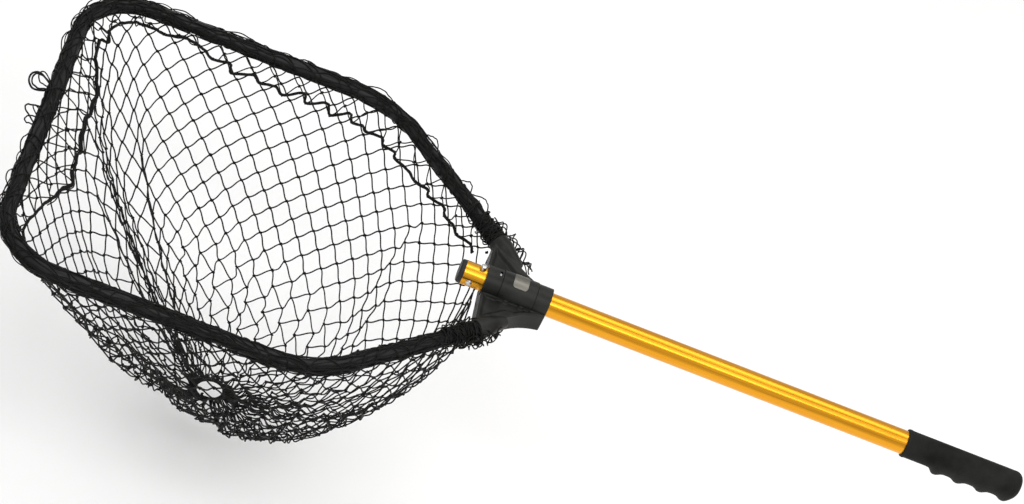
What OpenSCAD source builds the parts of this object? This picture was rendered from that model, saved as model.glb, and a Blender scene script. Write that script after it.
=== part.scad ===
// Landing net with a handle that slides through the hoop's yoke.
// +X runs along the handle from the hoop to the grip, +Z is the hoop's upward normal.
// The origin is on the handle's axis at the middle of the grip.

/* [Handle] */
// Length of the handle's tube
handle_len = 610; // [560:5:660]
// Outer diameter of the handle's tube
tube_d = 25.4; // [25:0.1:26]
// Wall of the handle's tube
tube_wall = 1.4; // [1.2:0.1:1.8]
// Length of the grip
grip_len = 130; // [125:1:140]
// Radius of the grip's round part
grip_r = 14.7; // [14.2:0.1:16]
// Rubber behind the tube's rear end
grip_end_wall = 10; // [6:0.5:12]
// Distance from one finger swell to the next
finger_pitch = 25.7; // [23:0.1:26]

/* [Snap buttons] */
// Radius of both buttons
button_r = 3.2; // [2.8:0.1:3.4]
// Distance of the stop button from the tube's tip
stop_button_x = 17; // [16:0.5:18]
// Height of the stop button's top above the tube's axis
stop_button_top = 19; // [17:0.5:20]
// Distance of the lock button from the tube's tip
lock_button_x = 36.2; // [35:0.1:36.5]
// Height of the lock button's top above the tube's axis
lock_button_top = 15.2; // [14:0.1:15.2]

/* [Yoke] */
// Distance from the tube's tip to the yoke's front face
yoke_front = 22.5; // [22:0.5:24]
// Length of the yoke
yoke_len = 70.5; // [68:0.5:74]
// Radius of the two collars
collar_r = 16.5; // [16.5:0.1:17.5]
// Length of the front collar
front_collar = 17; // [17:0.5:20]
// Length of the rear collar
rear_collar = 15.5; // [14:0.5:18]
// Radius of the cover between the collars
cover_r = 17.2; // [17.2:0.1:18]
// Height of the saddle below the tube's axis
saddle_depth = 22; // [20:0.5:24]
// Half width of the saddle at its rear face
saddle_half_w = 19; // [18.5:0.5:22]
// Outer radius of the sockets for the hoop's legs
socket_r = 11; // [11:0.5:13]

/* [Hoop] */
// Outer width of the hoop
hoop_w = 430; // [410:2:440]
// Distance from the handle's tip to the middle of the far bar
hoop_reach = 450; // [440:2:470]
// Outer diameter of the hoop's tube
hoop_d = 15; // [14.5:0.5:16]
// Bend radius of the two far corners
corner_r = 67; // [60:1:75]
// Bend radius where a side turns into a leg
bend_r = 110; // [90:5:120]
// Angle of the legs to the handle
leg_angle = 44; // [42:1:46]
// Distance of the hoop's plane below the handle's axis
hoop_drop = 6; // [5.5:0.5:7]

/* [Bag] */
// Depth of the gathered bottom below the hoop's plane
bag_depth = 260; // [230:2:280]
// Thickness of the bag's netting
bag_t = 1.6; // [1.4:0.2:3]
// Radius of the gathering cord's ring
gather_r = 16; // [12:0.5:16]
// Radius of the selvedge cord
selvedge_r = 1.6; // [1.2:0.1:2]

/* [Hidden] */

$fn = 64;
EPS = 0.01;                               // overlap of a cutter past a face
FIT = 0.05;                               // clearance between parts that touch
tube_r = tube_d / 2;
tube_bore_r = tube_r - tube_wall;
first_swell = 42.5;                       // the first swell's crest, from the grip's front edge
crest_depth = grip_r + 9.9;               // from the axis down to the swells' crests
under_r = 13.5;                           // round of the grip's underside across the swells
tube_rear = grip_len / 2 - grip_end_wall;
tip_x = tube_rear - handle_len;           // everything but the grip is placed from the tube's tip
key_angle = 42;                           // angle of the key grooves from the top
key_w = 1.4;
key_depth = 0.5;

rivet_x = 8;
rivet_r = 2;
rivet_head_r = 3.2;
plug_flange = 5;
plug_depth = 11.5;

button_flange_r = 4.1;
button_flange_top = 10.2;
button_flange_t = 1;
button_gap = 0.2;
keyway_w = 2 * button_r + 0.8;            // channel that the lock button runs in
keyway_top = lock_button_top + 0.25;
spring_w = 7;
spring_t = 0.8;
spring_front = 14;
spring_fold_x = 76;
spring_lower_z = -9;

yoke_rear = yoke_front + yoke_len;
cover_front = yoke_front + front_collar;
cover_rear = yoke_rear - rear_collar;
spigot_r = 14.5;
spigot_len = 6.5;
slide_r = tube_r + FIT;                   // running fit of the bushes on the handle
relief_r = 13.3;                          // between the bushes nothing touches the handle
slot_l = 2.4;
slot_w = 6.4;
screw_y = 15.1;
screw_x = [cover_front + 10.5, cover_rear - 10.5];
screw_r = 1;
screw_head_r = 2.6;
screw_head_t = 1.8;
screw_seat = 12;                          // depth of the screws' seats below the axis
screw_top = 4;

leg_screw_r = 2;
leg_screw_head_r = 3.6;
leg_screw_head_t = 2.2;
leg_screw_in = 15;                        // distance of a leg's screw from the socket's mouth
leg_screw_past = 1.2;                     // how far the screw goes into the socket's far wall

socket_len = 12;
socket_taper = 26;                        // the socket's outside narrows behind this into the saddle
saddle_hollow = 11;                       // how far the saddle's sides curve in
lug_x = 49;                               // small lugs under the arms that the bag's ties go round
lug_y = 46;
lug_size = 6;

hoop_r = hoop_d / 2;
hoop_wall = 1.2;
hoop_z = -hoop_drop;
hoop_half = hoop_w / 2 - hoop_r;          // half width of the hoop's centre line
leg_dir = [-cos(leg_angle), sin(leg_angle)];
leg_mouth = [28, 67];                     // where a leg enters its socket
leg_in = 27;                              // how far a leg goes into its socket
leg_corner_x = leg_mouth[0] - (hoop_half - leg_mouth[1]) / tan(leg_angle);
bend_cut = bend_r * tan(leg_angle / 2);   // from the sharp corner to the bend's ends
side_front = leg_corner_x - bend_cut;

lash_t = 1.4;                             // thickness of the lashing round the hoop
lash_len = 30;                            // length of the dense wraps in front of the sockets
wrap_t = 3;
bag_rim_z = hoop_z - hoop_r - lash_t - bag_t - 0.2;
bag_centre = [-235, 0];                   // middle of the mouth
bag_foot = [-188, -27, hoop_z - bag_depth];    // middle of the gathered bottom
bag_foot_r = gather_r + 3;
bag_slack = 48;                           // mean bulge of the walls, halfway down
bag_slack_side = 24;                      // extra bulge on the side with the most slack
bag_slack_angle = 8;                      // and where that side is
bag_out = [0.75, -0.66];                  // direction of the bulge, outwards and down
bag_steps = 14;
bag_sides = 56;
selvedge_z = bag_rim_z - 14;
selvedge_in = 0.88;                       // how far in from the bag the selvedge hangs

// Radius of the mouth's outline at angle a, as a rounded polygon that is the soft minimum of its sides
mouth_sides = [[180, hoop_reach + bag_centre[0]], [90, hoop_half], [-90, hoop_half],
    [90 - leg_angle, 231], [leg_angle - 90, 231], [0, 249]];
mouth_round = 8;
function mouth_r(a) = pow([for (s = mouth_sides) pow(max(cos(a - s[0]), 0) / s[1], mouth_round)]
    * [for (s = mouth_sides) 1], -1 / mouth_round);

// A point of the bag's surface at angle a and at v from 0, the rim, to 1, the gathered bottom
function bag_bulge(a, v) = (bag_slack + bag_slack_side * cos(a - bag_slack_angle))
    * pow(max(sin(180 * pow(v, 1.4)), 0), 0.6);
function bag_pt(a, v, t) =
    let (dir = [cos(a), sin(a)],
         rim = bag_centre + mouth_r(a) * dir,
         foot = [bag_foot[0], bag_foot[1]] + bag_foot_r * dir,
         p = rim + (foot - rim) * v + (bag_bulge(a, v) - t) * bag_out[0] * dir)
    [p[0], p[1], bag_rim_z + (bag_foot[2] - bag_rim_z) * v + (bag_bulge(a, v) - t) * bag_out[1]];

module at_tip() translate([tip_x, 0, 0]) children();
module along_x(x0, x1) translate([x0, 0, 0]) rotate([0, 90, 0]) linear_extrude(x1 - x0) children();
module ring_x(x0, x1, r_out, r_in) {
    along_x(x0, x1) difference() {
        circle(r_out);
        circle(r_in);
    }
}

// ---- handle ----

module key_grooves() {
    for (a = [key_angle, key_angle + 180])
        rotate([a, 0, 0])
            translate([-EPS, -key_w / 2, tube_r - key_depth])
                cube([handle_len + 2 * EPS, key_w, key_depth + 1]);
}

module button_hole(x) {
    translate([x, 0, 0]) cylinder(h = tube_r + 1, r = button_r + button_gap);
}

module handle_tube() {
    color("goldenrod") at_tip() difference() {
        ring_x(0, handle_len, tube_r, tube_bore_r);
        key_grooves();
        button_hole(stop_button_x);
        button_hole(lock_button_x);
        translate([rivet_x, 0, 0]) rotate([90, 0, 0])
            cylinder(h = 2 * tube_r + 2, r = rivet_r + FIT, center = true);
    }
}

module tip_plug() {
    color("dimgray") at_tip() difference() {
        rotate([0, 90, 0]) rotate_extrude()
            polygon([[0, -plug_flange], [tube_r - 1.8, -plug_flange], [tube_r - 0.2, -plug_flange + 1.6],
                [tube_r - 0.2, 0], [tube_bore_r - FIT, 0], [tube_bore_r - FIT, plug_depth - 1],
                [tube_bore_r - 1, plug_depth], [0, plug_depth]]);
        translate([rivet_x, 0, 0]) rotate([90, 0, 0])
            cylinder(h = 2 * tube_r + 2, r = rivet_r + FIT, center = true);
    }
}

module rivet_head() {
    rotate_extrude() polygon([[0, 0], [rivet_head_r, 0], [rivet_head_r - 0.3, 0.8],
        [rivet_head_r - 1.2, 1.5], [0, 1.9]]);
}

module plug_rivet() {
    color("silver") at_tip() translate([rivet_x, 0, 0]) {
        rotate([90, 0, 0]) cylinder(h = 2 * tube_r + 0.2, r = rivet_r, center = true);
        for (side = [-1, 1])
            rotate([side * 90, 0, 0]) translate([0, 0, tube_r + FIT]) rivet_head();
    }
}

module button_spring() {
    fold_r = (button_flange_top - button_flange_t - 0.2 - spring_lower_z) / 2;
    upper_z = spring_lower_z + 2 * fold_r;
    color("lightsteelblue") at_tip() translate([0, spring_w / 2, 0]) rotate([90, 0, 0])
        linear_extrude(spring_w) {
            translate([spring_front, upper_z - spring_t])
                square([spring_fold_x - spring_front, spring_t]);
            translate([spring_front + 8, spring_lower_z])
                square([spring_fold_x - spring_front - 8, spring_t]);
            translate([spring_fold_x, spring_lower_z + fold_r]) intersection() {
                difference() {
                    circle(fold_r);
                    circle(fold_r - spring_t);
                }
                translate([0, -fold_r]) square([fold_r, 2 * fold_r]);
            }
        }
}

// The underside swells round each finger and is filled in between; the outline is seen from the side
module grip_swells_side() {
    first = -grip_len / 2 + first_swell;
    valley = grip_r + 4.6;
    crest_r = 12.6;
    last_r = 9.5;
    for (i = [0:2])
        translate([first + i * finger_pitch, crest_r - crest_depth]) circle(r = crest_r);
    translate([grip_len / 2 - 1 - last_r, last_r - crest_depth]) circle(r = last_r);
    translate([first - 9, -valley]) square([3 * finger_pitch + 12, valley]);
}

module grip_shell() {
    round_z = crest_depth - under_r + 0.4;
    end_r = 8;
    front = -grip_len / 2;
    rear = grip_len / 2;
    rotate([0, 90, 0]) rotate_extrude()
        difference() {
            union() {
                translate([0, front]) square([grip_r, grip_len - end_r]);
                translate([0, front]) square([grip_r - end_r, grip_len]);
                translate([grip_r - end_r, rear - end_r]) circle(end_r);
            }
            translate([-grip_r - 10, front - 1]) square([grip_r + 10, grip_len + 2]);
        }
    intersection() {
        rotate([90, 0, 0]) linear_extrude(2 * grip_r, center = true) grip_swells_side();
        union() {
            translate([0, 0, -round_z]) rotate([0, 90, 0])
                cylinder(h = grip_len - 1.2, r = under_r, center = true);
            translate([-grip_len / 2 + 0.6, -under_r, -round_z]) cube([grip_len - 1.2, 2 * under_r, round_z]);
        }
    }
}

module grip() {
    color("#262624") difference() {
        grip_shell();
        along_x(-grip_len / 2 - 1, tube_rear + FIT) circle(tube_r + FIT);
    }
}

// ---- snap buttons ----

module snap_button(x, top) {
    color("silver") at_tip() translate([x, 0, 0]) rotate_extrude()
        polygon([[0, button_flange_top - button_flange_t],
            [button_flange_r, button_flange_top - button_flange_t], [button_flange_r, button_flange_top],
            [button_r, button_flange_top], [button_r, top - 2], [button_r - 0.35, top - 1.15],
            [button_r - 1, top - 0.5], [button_r - 1.9, top - 0.1], [0, top]]);
}

module stop_button() snap_button(stop_button_x, stop_button_top);
module lock_button() snap_button(lock_button_x, lock_button_top);

// ---- yoke ----

module keyway(x0, x1) {
    translate([x0, -keyway_w / 2, 0]) cube([x1 - x0, keyway_w, keyway_top]);
}

module bush(x0, x1, spigot_from) {
    difference() {
        union() {
            ring_x(x0, x1, collar_r, slide_r);
            ring_x(spigot_from, spigot_from + spigot_len, spigot_r, slide_r);
        }
        keyway(x0 - 10, x1 + 10);
    }
}

module front_bush() {
    color("#2a2a28") at_tip() difference() {
        bush(yoke_front, cover_front - 0.2, cover_front - 0.2);
        translate([lock_button_x - slot_l / 2, -slot_w / 2, 0]) cube([slot_l, slot_w, collar_r + 1]);
    }
}

module rear_bush() {
    color("#2a2a28") at_tip() bush(cover_rear + 0.2, yoke_rear, cover_rear + 0.2 - spigot_len);
}

// Space inside the yoke for the bushes and the handle
module yoke_inside() {
    along_x(yoke_front - 1, cover_front) circle(collar_r + FIT);
    along_x(cover_rear, yoke_rear + 1) circle(collar_r + FIT);
    along_x(cover_front - 1, cover_front + spigot_len + 0.2) circle(spigot_r + FIT);
    along_x(cover_rear - spigot_len - 0.2, cover_rear + 1) circle(spigot_r + FIT);
    along_x(cover_front, cover_rear) circle(relief_r);
}

module cover_screw_holes() {
    for (x = screw_x, side = [-1, 1])
        translate([x, side * screw_y, 0]) {
            translate([0, 0, -screw_seat]) cylinder(h = screw_seat + screw_top + 0.3, r = screw_r + FIT);
            translate([0, 0, -saddle_depth - 1])
                cylinder(h = saddle_depth + 1 - screw_seat, r = screw_head_r + 0.2);
        }
}

module yoke_cover() {
    color("#2a2a28") at_tip() difference() {
        intersection() {
            along_x(cover_front + 0.1, cover_rear - 0.1) circle(cover_r);
            translate([0, -50, 0.1]) cube([200, 100, 50]);
        }
        yoke_inside();
        keyway(cover_front - 1, cover_rear + 1);
        cover_screw_holes();
    }
}

// Half of the saddle's outline from above, with a hollow curve from the socket to the rear face
module saddle_half_plan() {
    arm_half = socket_r - 1.5;
    arm_end = leg_mouth - 4 * leg_dir;
    inner = arm_end + arm_half * [-sin(leg_angle), -cos(leg_angle)];
    outer = arm_end + arm_half * [sin(leg_angle), cos(leg_angle)];
    rear = [yoke_rear, saddle_half_w];
    chord = norm(rear - outer);
    arc_r = chord * chord / (8 * saddle_hollow) + saddle_hollow / 2;
    away = [outer[1] - rear[1], rear[0] - outer[0]] / chord;
    difference() {
        polygon([[yoke_front, -1], inner, outer, rear, [yoke_rear, -1]]);
        translate((outer + rear) / 2 + away * (arc_r - saddle_hollow)) circle(arc_r, $fn = 128);
    }
}

// Children are drawn with +Z out of a socket's mouth, starting so far inside it
module on_leg(side, inside) {
    translate([leg_mouth[0], side * leg_mouth[1], hoop_z]) rotate([0, 0, side * (180 - leg_angle)])
        translate([-inside, 0, 0]) rotate([0, 90, 0]) children();
}

module leg_screw_places() {
    place = leg_mouth - leg_screw_in * leg_dir;
    for (side = [-1, 1])
        translate([place[0], side * place[1], hoop_z]) children();
}

module yoke_saddle() {
    color("#2a2a28") at_tip() difference() {
        union() {
            translate([0, 0, -saddle_depth]) linear_extrude(saddle_depth) {
                saddle_half_plan();
                mirror([0, 1]) saddle_half_plan();
            }
            for (side = [-1, 1]) {
                on_leg(side, socket_len) cylinder(h = socket_len, r = socket_r);
                on_leg(side, socket_len + socket_taper - 0.1)
                    cylinder(h = socket_taper, r1 = socket_r - 5, r2 = socket_r);
                translate([lug_x, side * lug_y - lug_size / 2, -saddle_depth - 2])
                    cube([lug_size, lug_size, lug_size]);
            }
        }
        yoke_inside();
        translate([yoke_front - 1, -collar_r - FIT, 0]) cube([yoke_len + 2, 2 * (collar_r + FIT), 30]);
        cover_screw_holes();
        for (side = [-1, 1])
            on_leg(side, leg_in + 0.3) cylinder(h = leg_in + 2, r = hoop_r + FIT);
        leg_screw_places() {
            translate([0, 0, -saddle_depth])
                cylinder(h = saddle_depth + hoop_r + leg_screw_past + 0.2, r = leg_screw_r + FIT);
            translate([0, 0, -saddle_depth - hoop_z - 1])
                cylinder(h = leg_screw_head_t + 1.6, r = leg_screw_head_r + 0.2);
        }
    }
}

module cover_screws() {
    color("silver") at_tip() for (x = screw_x, side = [-1, 1])
        translate([x, side * screw_y, -screw_seat]) {
            cylinder(h = screw_seat + screw_top, r = screw_r);
            translate([0, 0, -screw_head_t]) difference() {
                cylinder(h = screw_head_t, r = screw_head_r);
                for (turn = [0, 90])
                    rotate([0, 0, turn]) translate([-1.6, -0.35, -1]) cube([3.2, 0.7, 2]);
            }
        }
}

module leg_screws() {
    seat = -saddle_depth - hoop_z + leg_screw_head_t + 0.5;
    color("silver") at_tip() leg_screw_places() {
        translate([0, 0, seat]) cylinder(h = hoop_r + leg_screw_past - seat, r = leg_screw_r);
        translate([0, 0, seat - leg_screw_head_t]) difference() {
            cylinder(h = leg_screw_head_t, r = leg_screw_head_r);
            for (turn = [0, 90])
                rotate([0, 0, turn]) translate([-2, -0.5, -1]) cube([4, 1, 2]);
        }
    }
}

module badge_plate() {
    color("gainsboro") at_tip() intersection() {
        ring_x(cover_front, cover_rear, cover_r + 0.6, cover_r + FIT);
        translate([(cover_front + cover_rear) / 2, 0, 0]) linear_extrude(cover_r + 2) {
            square([16, 14], center = true);
            square([10, 20], center = true);
            for (sx = [-1, 1], sy = [-1, 1])
                translate([sx * 5, sy * 7]) circle(3);
        }
    }
}

// ---- hoop and net ----

// Half of the hoop's route, from the far bar to a leg's end, as points and directions
function arc_route(centre, r, from, to, steps) =
    [for (i = [0:steps]) let (a = from + (to - from) * i / steps)
        [centre + r * [cos(a), sin(a)], [sin(a), -cos(a)]]];
function half_route(past_mouth) = concat(
    arc_route([corner_r - hoop_reach, hoop_half - corner_r], corner_r, 180, 90, 9),
    arc_route([side_front, hoop_half - bend_r], bend_r, 90, 90 - leg_angle, 6),
    [[leg_mouth - past_mouth * leg_dir, -leg_dir]]);
function route(past_mouth) = let (h = half_route(past_mouth), n = len(h)) concat(
    [for (i = [n - 1:-1:0]) [[h[i][0][0], -h[i][0][1]], [-h[i][1][0], h[i][1][1]]]], h);

// A tube along the hoop's route, past_mouth into the sockets
module hoop_run(r_out, r_in, past_mouth) {
    sides = 16;
    steps = route(past_mouth);
    n = len(steps);
    points = [for (r = [r_out, r_in], s = steps, k = [0:sides - 1])
        let (b = 360 * k / sides, p = s[0] + r * cos(b) * [s[1][1], -s[1][0]])
        [p[0], p[1], hoop_z + r * sin(b)]];
    function at(skin, i, k) = (skin * n + i) * sides + k % sides;
    function quad(a, b, c, d) = [[a, b, c], [a, c, d]];
    polyhedron(points = points, faces = concat(
        [for (i = [0:n - 2], k = [0:sides - 1])
            each quad(at(0, i, k), at(0, i + 1, k), at(0, i + 1, k + 1), at(0, i, k + 1))],
        [for (i = [0:n - 2], k = [0:sides - 1])
            each quad(at(1, i, k), at(1, i, k + 1), at(1, i + 1, k + 1), at(1, i + 1, k))],
        [for (k = [0:sides - 1]) each quad(at(0, 0, k), at(0, 0, k + 1), at(1, 0, k + 1), at(1, 0, k))],
        [for (k = [0:sides - 1])
            each quad(at(0, n - 1, k), at(1, n - 1, k), at(1, n - 1, k + 1), at(0, n - 1, k + 1))]));
}

module hoop_tube() {
    color("#30302e") at_tip() difference() {
        hoop_run(hoop_r, hoop_r - hoop_wall, leg_in);
        leg_screw_places() cylinder(h = 3 * hoop_r, r = leg_screw_r + FIT, center = true);
    }
}

module rim_lashing() {
    color("#1c1c1b") at_tip() hoop_run(hoop_r + lash_t, hoop_r + 0.2, -lash_len - 3);
}

module leg_lashing(side) {
    color("#1c1c1b") at_tip() on_leg(side, -1.5) difference() {
        cylinder(h = lash_len, r = hoop_r + wrap_t);
        translate([0, 0, -1]) cylinder(h = lash_len + 2, r = hoop_r + FIT);
    }
}

module near_leg_lashing() leg_lashing(-1);
module far_leg_lashing() leg_lashing(1);

// The bag is a bowl of netting: an outer and an inner skin, joined at the rim and at the gathered hole
module net_bag() {
    n = bag_sides;
    m = bag_steps;
    skin = [for (t = [0, bag_t], j = [0:m], i = [0:n - 1]) bag_pt(360 * i / n, j / m, t)];
    function at(k, j, i) = k * (m + 1) * n + j * n + i % n;
    color("#242422") at_tip() polyhedron(points = skin, faces = concat(
        [for (j = [0:m - 1], i = [0:n - 1]) each
            [[at(0, j, i), at(0, j, i + 1), at(0, j + 1, i)],
             [at(0, j, i + 1), at(0, j + 1, i + 1), at(0, j + 1, i)]]],
        [for (j = [0:m - 1], i = [0:n - 1]) each
            [[at(1, j, i), at(1, j + 1, i), at(1, j, i + 1)],
             [at(1, j, i + 1), at(1, j + 1, i), at(1, j + 1, i + 1)]]],
        [for (i = [0:n - 1]) each
            [[at(0, 0, i), at(1, 0, i), at(0, 0, i + 1)],
             [at(0, 0, i + 1), at(1, 0, i), at(1, 0, i + 1)]]],
        [for (i = [0:n - 1]) each
            [[at(0, m, i), at(0, m, i + 1), at(1, m, i)],
             [at(0, m, i + 1), at(1, m, i + 1), at(1, m, i)]]]));
}

// The selvedge is one closed cord inside the bag, below the rim
module selvedge_cord() {
    n = 72;
    sides = 8;
    function route(a) = [bag_centre[0] + selvedge_in * mouth_r(a) * cos(a),
        selvedge_in * mouth_r(a) * sin(a), selvedge_z];
    points = [for (i = [0:n - 1], k = [0:sides - 1])
        let (a = 360 * i / n, p = route(a), q = route(a + 0.5), o = route(a - 0.5),
             along = (q - o) / norm(q - o), out = [along[1], -along[0], 0], b = 360 * k / sides)
        p + selvedge_r * (out * cos(b) + [0, 0, sin(b)])];
    function at(i, k) = (i % n) * sides + k % sides;
    color("#1c1c1b") at_tip() polyhedron(points = points, faces = [for (i = [0:n - 1], k = [0:sides - 1]) each
        [[at(i, k), at(i, k + 1), at(i + 1, k)], [at(i, k + 1), at(i + 1, k + 1), at(i + 1, k)]]]);
}

module gather_cord() {
    color("#1c1c1b") at_tip() translate(bag_foot + [0, 0, bag_t])
        rotate_extrude() translate([gather_r - 2.2, 0]) circle(1.8);
}

handle_tube();
tip_plug();
plug_rivet();
button_spring();
grip();
stop_button();
lock_button();
yoke_saddle();
yoke_cover();
badge_plate();
front_bush();
rear_bush();
cover_screws();
leg_screws();
hoop_tube();
net_bag();
rim_lashing();
near_leg_lashing();
far_leg_lashing();
selvedge_cord();
gather_cord();
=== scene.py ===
"""Landing net: a knotted bag on a bent hoop, a moulded yoke, and a gold handle with a grip."""
import math

import bpy
import numpy as np
from mathutils import Matrix, Vector


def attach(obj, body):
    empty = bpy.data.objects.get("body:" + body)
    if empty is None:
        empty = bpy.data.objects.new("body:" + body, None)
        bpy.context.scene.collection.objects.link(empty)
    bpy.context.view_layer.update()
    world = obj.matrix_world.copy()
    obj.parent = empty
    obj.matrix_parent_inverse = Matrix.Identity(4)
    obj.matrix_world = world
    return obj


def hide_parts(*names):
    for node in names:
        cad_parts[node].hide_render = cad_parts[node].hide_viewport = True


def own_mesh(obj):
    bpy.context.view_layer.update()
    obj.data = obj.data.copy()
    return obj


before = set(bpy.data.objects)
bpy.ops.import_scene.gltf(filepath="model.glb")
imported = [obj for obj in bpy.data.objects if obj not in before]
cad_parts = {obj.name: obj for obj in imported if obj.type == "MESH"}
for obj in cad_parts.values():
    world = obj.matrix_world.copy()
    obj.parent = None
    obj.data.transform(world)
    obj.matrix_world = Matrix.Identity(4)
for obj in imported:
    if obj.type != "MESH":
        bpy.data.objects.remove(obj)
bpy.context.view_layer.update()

# Lengths below are millimetres from the handle's tip, and put() turns them into metres of the row frame.
TIP = np.array([-555.0, 0.0, 0.0])
HOOP_Z, HOOP_R = -6.0, 7.3                  # the hoop's plane and its tube's radius
HALF, REACH = 207.0, 450.0                  # the hoop's half width and its far bar's distance from the tip
CORNER, BEND = 67.0, 110.0                  # radii of the far corners and of the bends before the legs
LEG = math.radians(44)                      # angle of the legs from the handle
MOUTH = np.array([28.0, 67.0])              # where a leg enters its socket
LEG_IN = 27.0                               # how far it goes in
RING = np.array([-188.5, -27.3, -264.5])    # middle of the bag's gathered bottom
RING_R = 15.0
DOWN = np.array([0.366, -0.19, -0.91])      # which way the bag's slack hangs
DOWN = DOWN / np.linalg.norm(DOWN)
N, M, BAR = 50, 25, 20.5                    # meshes round the bag, rows of bars, and a bar's length
FRONT = 4                                   # columns of meshes that hang across the front, below the yoke
FOLD = 25                                   # the column that is bunched like a rope
SLACK_FOLD = 41                             # and one that is only narrowed
FAR_TIES = 575.0, 825.0                     # stretch of the hoop, on its far bar, where ties are wider apart
N_FLAP = 52                                 # meshes in a row of the netting folded in over the hoop
GRIP_X, GRIP_HALF, GRIP_R = 555.0, 65.0, 14.7
SWELL_X, SWELL_PITCH = 42.5, 25.7           # the first swell from the grip's front edge, and their spacing
rng = np.random.default_rng(11)


def put(points):
    """Millimetres from the tip to metres of the row frame."""
    return (np.asarray(points, float) + TIP) / 1000.0


def unit(v):
    """Vectors of length 1."""
    return v / (np.linalg.norm(v, axis=-1, keepdims=True) + 1e-12)


# ---------------------------------------------------------------- meshes

def mesh_object(name, verts, quads, uv=None, smooth=True):
    """A Blender object from vertices in millimetres, quads, and UVs for each quad's corners."""
    mesh = bpy.data.meshes.new(name)
    quads = np.ascontiguousarray(quads, np.int32)
    mesh.vertices.add(len(verts))
    mesh.vertices.foreach_set("co", np.ascontiguousarray(put(verts), np.float32).ravel())
    mesh.loops.add(quads.size)
    mesh.loops.foreach_set("vertex_index", quads.ravel())
    mesh.polygons.add(len(quads))
    mesh.polygons.foreach_set("loop_start", np.arange(0, quads.size, 4, dtype=np.int32))
    mesh.polygons.foreach_set("use_smooth", np.full(len(quads), smooth))
    if uv is not None:
        layer = mesh.uv_layers.new(name="UVMap")
        layer.data.foreach_set("uv", np.ascontiguousarray(uv, np.float32).ravel())
    mesh.update(calc_edges=True)
    mesh.validate()
    obj = bpy.data.objects.new(name, mesh)
    bpy.context.scene.collection.objects.link(obj)
    return obj


def sweep(paths, radius, sides=6, closed=False):
    """Tubes along paths of shape (strands, points, 3), capped if they are six-sided and open.

    Returns vertices, quads and their UVs, which run round the tube and along it in millimetres."""
    P = np.asarray(paths, float)
    if P.ndim == 2:
        P = P[None]
    S, K = P.shape[:2]
    if closed:
        T = unit(np.roll(P, -1, 1) - np.roll(P, 1, 1))
    else:
        T = np.empty_like(P)
        T[:, 1:-1] = P[:, 2:] - P[:, :-2]
        T[:, 0] = P[:, 1] - P[:, 0]
        T[:, -1] = P[:, -1] - P[:, -2]
        T = unit(T)
    ref = np.where(np.abs(T[:, 0, 2:3]) < 0.8, [[0.0, 0.0, 1.0]], [[1.0, 0.0, 0.0]])
    n = unit(np.cross(T[:, 0], ref))
    normal = np.empty_like(P)
    for k in range(K):
        n = unit(n - (n * T[:, k]).sum(-1, keepdims=True) * T[:, k])
        normal[:, k] = n
    other = np.cross(T, normal)
    turn = np.zeros((S, K))
    if closed:
        last = unit(n - (n * T[:, 0]).sum(-1, keepdims=True) * T[:, 0])
        off = np.arctan2((last * other[:, 0]).sum(-1), (last * normal[:, 0]).sum(-1))
        turn = -off[:, None] * np.arange(K)[None] / K
    r = np.broadcast_to(np.asarray(radius, float), (S, K)) if np.ndim(radius) < 3 else radius
    b = turn[..., None] + 2 * np.pi * np.arange(sides) / sides
    V = P[:, :, None] + r[..., None, None] * (np.cos(b)[..., None] * normal[:, :, None]
                                              + np.sin(b)[..., None] * other[:, :, None])
    index = np.arange(S * K * sides).reshape(S, K, sides)
    nxt = np.roll(index, -1, 1) if closed else index
    a = index if closed else index[:, :-1]
    c = nxt if closed else index[:, 1:]
    quads = np.stack([a, np.roll(a, -1, 2), np.roll(c, -1, 2), c], -1)
    seg = np.linalg.norm(np.diff(P, axis=1), axis=-1)
    s = np.concatenate([np.zeros((S, 1)), np.cumsum(seg, 1)], 1)
    if closed:
        gap = np.linalg.norm(P[:, 0] - P[:, -1], axis=-1, keepdims=True)
        s = np.concatenate([s, s[:, -1:] + gap], 1)
    u = np.arange(sides) / sides
    shape = a.shape
    s0 = np.broadcast_to(s[:, :-1, None], shape)
    s1 = np.broadcast_to(s[:, 1:, None], shape)
    u0 = np.broadcast_to(u, shape)
    u1 = u0 + 1 / sides
    uv = np.stack([np.stack(corner, -1) for corner in ((u0, s0), (u1, s0), (u1, s1), (u0, s1))], -2)
    quads, uv = quads.reshape(-1, 4), uv.reshape(-1, 4, 2)
    if sides == 6 and not closed:
        caps = []
        for quad in ([0, 1, 2, 3], [0, 3, 4, 5]):
            caps.append(index[:, 0][:, quad[::-1]])
            caps.append(index[:, -1][:, quad])
        caps = np.concatenate(caps)
        quads = np.concatenate([quads, caps])
        uv = np.concatenate([uv, np.zeros((len(caps), 4, 2))])
    return V.reshape(-1, 3), quads, uv


def join(parts):
    """One mesh's vertices, quads and UVs from several."""
    verts, quads, uvs, base = [], [], [], 0
    for v, q, u in parts:
        verts.append(v)
        quads.append(q + base)
        uvs.append(u)
        base += len(v)
    return np.concatenate(verts), np.concatenate(quads), np.concatenate(uvs)


def catmull(points, per=6, closed=False):
    """A smooth curve through the points."""
    P = np.asarray(points, float)
    Q = np.vstack([P[-1:], P, P[:2]]) if closed else np.vstack([2 * P[0] - P[1], P, 2 * P[-1] - P[-2]])
    t = np.linspace(0, 1, per, endpoint=False)[:, None]
    out = []
    for i in range(len(Q) - 3):
        a, b, c, d = Q[i:i + 4]
        out.append(0.5 * (2 * b + (c - a) * t + (2 * a - 5 * b + 4 * c - d) * t ** 2
                          + (3 * b - a - 3 * c + d) * t ** 3))
    if not closed:
        out.append(P[-1:])
    return np.vstack(out)


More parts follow.
